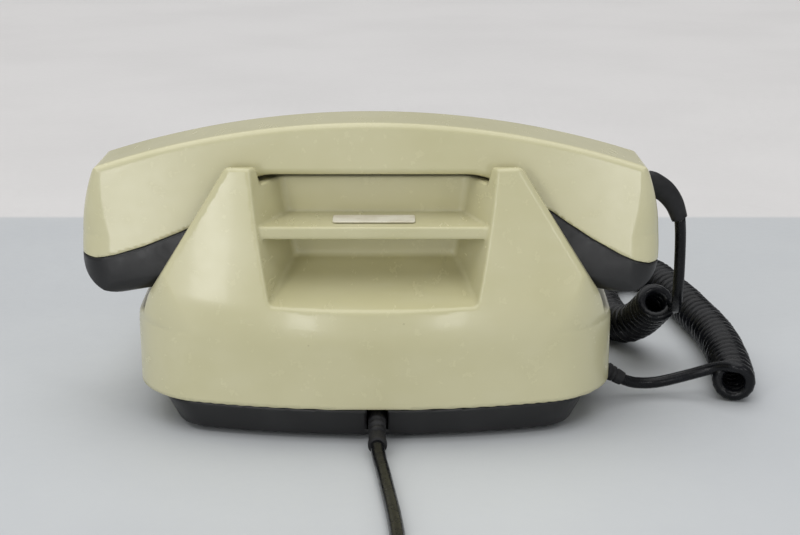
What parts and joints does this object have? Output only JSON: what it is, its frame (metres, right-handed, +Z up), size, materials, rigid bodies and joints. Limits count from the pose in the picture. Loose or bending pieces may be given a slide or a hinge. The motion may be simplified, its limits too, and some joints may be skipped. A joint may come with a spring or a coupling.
{
  "type": "rotary telephone",
  "caption": "Desk telephone with a rotary dial, a lift-off handset on a horned cradle, a shelf niche in its back, a curled handset cord and a line cord with plug",
  "frame": {"origin": "on the table, under the middle of the telephone with its handset on, without its cords", "axes": "+X is the user's right and runs along the handset, -Y is the dial side, +Y is the back with the shelf niche, +Z is up"},
  "size_m": [0.2762, 0.4182, 0.118],
  "materials": {
    "ivory_plastic": "semi-gloss moulded ivory, lightly aged",
    "black_plastic": "satin moulded black",
    "cord_plastic": "glossy black sheath",
    "rubber": "matt black rubber",
    "steel": "zinc-plated steel",
    "bright_metal": "polished chrome",
    "brass": "turned brass, lightly tarnished",
    "copper_winding": "enamelled copper wire",
    "phenolic": "brown phenolic",
    "capacitor_film": "blue film sleeve",
    "clear_plastic": "clear moulded plastic",
    "paper": "plain card, blank"
  },
  "bodies": {
    "base": {"body_shell": "ivory_plastic", "number_ring": "ivory_plastic", "base_plate": "black_plastic", "line_plug": "black_plastic", "handset_cord_tail": "cord_plastic", "handset_cord_curl": "cord_plastic", "handset_cord_lead": "cord_plastic", "line_cord": "cord_plastic", "line_cord_coil": "cord_plastic", "foot_front_right": "rubber", "foot_front_left": "rubber", "foot_back_right": "rubber", "foot_back_left": "rubber", "base_cord_boot": "rubber", "line_cord_boot": "rubber", "case_screw_right": "steel", "case_screw_left": "steel", "chassis_plate": "steel", "gong_post_right": "steel", "gong_post_left": "steel", "gong_screw_right": "steel", "gong_screw_left": "steel", "ringer_yoke": "steel", "clapper_pivot": "steel", "hook_bracket": "steel", "hook_pivot": "steel", "hook_spring": "steel", "mainspring": "steel", "finger_stop": "bright_metal", "gong_right": "brass", "gong_left": "brass", "plug_pin_near": "brass", "plug_pin_far": "brass", "ringer_coil_right": "copper_winding", "ringer_coil_left": "copper_winding", "induction_coil": "copper_winding", "terminal_block": "phenolic", "hook_contacts": "phenolic", "dial_frame": "phenolic", "pulse_contacts": "phenolic", "capacitor": "capacitor_film", "shelf_label": "paper"},
    "handset": {"handset_upper": "ivory_plastic", "handset_lower": "black_plastic", "receiver_capsule": "steel", "transmitter_capsule": "phenolic", "handset_screw_right": "steel", "handset_screw_left": "steel", "handset_cord_boot": "rubber"},
    "plunger_right": {"plunger_right": "cord_plastic"},
    "plunger_left": {"plunger_left": "cord_plastic"},
    "hook_lever": {"hook_lever": "steel"},
    "dial_wheel": {"finger_wheel": "black_plastic", "dial_shaft": "steel", "dial_card": "paper", "dial_card_cover": "clear_plastic", "main_gear": "brass", "pulse_cam": "phenolic"},
    "governor": {"governor": "brass"},
    "clapper": {"clapper": "steel"}
  },
  "joints": [
    {"name": "handset_lift", "type": "slide", "parent": "base", "child": "handset", "axis": [0, 0, 1], "range_m": [0, 0.07]},
    {"name": "plunger_right_rise", "type": "slide", "parent": "base", "child": "plunger_right", "axis": [0, 0, 1], "range_m": [0, 0.005]},
    {"name": "plunger_left_rise", "type": "slide", "parent": "base", "child": "plunger_left", "axis": [0, 0, 1], "range_m": [0, 0.005]},
    {"name": "hook_lever_turn", "type": "hinge", "parent": "base", "child": "hook_lever", "pos_m": [0, 0.015, 0.0745], "axis": [1, 0, 0], "range_deg": [0, 11.6]},
    {"name": "dial_turn", "type": "hinge", "parent": "base", "child": "dial_wheel", "pos_m": [0, -0.04331, 0.06669], "axis": [0, 0.5736, -0.8192], "range_deg": [0, 330], "stiffness_Nm_per_rad": 0.008, "springref_deg": -57.3},
    {"name": "governor_spin", "type": "hinge", "parent": "base", "child": "governor", "pos_m": [-0.0175, -0.04847, 0.04355], "axis": [0, 0.5736, -0.8192], "continuous": true},
    {"name": "clapper_swing", "type": "hinge", "parent": "base", "child": "clapper", "pos_m": [0, 0.0295, 0.036], "axis": [0, 0, 1], "range_deg": [-6.5, 6.5], "stiffness_Nm_per_rad": 0.004}
  ],
  "couplings": [
    {"joint": "plunger_right_rise", "follows": "handset_lift", "ratio": 0.0714},
    {"joint": "plunger_left_rise", "follows": "handset_lift", "ratio": 0.0714},
    {"joint": "hook_lever_turn", "follows": "handset_lift", "rad_per_m": 2.867},
    {"joint": "governor_spin", "follows": "dial_turn", "ratio": -6}
  ]
}
